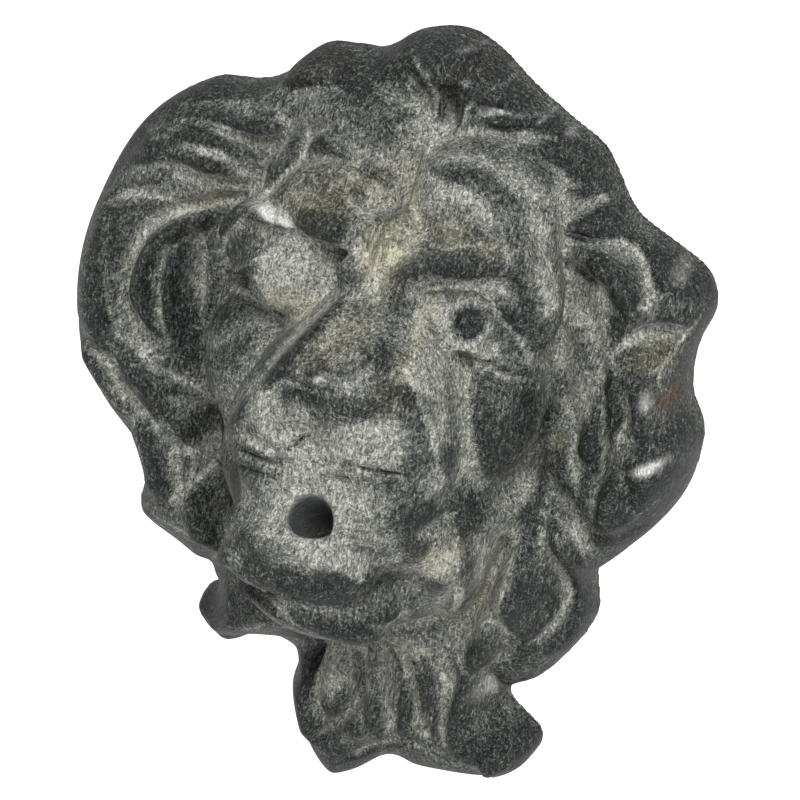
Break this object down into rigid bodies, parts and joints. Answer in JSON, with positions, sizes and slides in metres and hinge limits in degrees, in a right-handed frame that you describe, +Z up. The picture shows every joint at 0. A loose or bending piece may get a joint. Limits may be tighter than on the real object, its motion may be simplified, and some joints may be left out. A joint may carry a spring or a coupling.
{
  "type": "lion mask fountain spout",
  "caption": "Lion mask wall spout: a hollow lead casting of a lion's face in a thick mane, flat and open at the back, with a round bore through the mouth for water.",
  "frame": {"origin": "on the flat back rim, at the middle of the crown", "axes": "+Y into the wall behind the mask, the face looks along -Y, +Z up, +X to the right as seen from the front"},
  "size_m": [0.2653, 0.1267, 0.331],
  "materials": {
    "weathered_lead": "matt, dark grey on the high forms, pale grey oxide and lime in the recesses"
  },
  "bodies": {
    "root": {"lion_mask": "weathered_lead"}
  },
  "joints": []
}
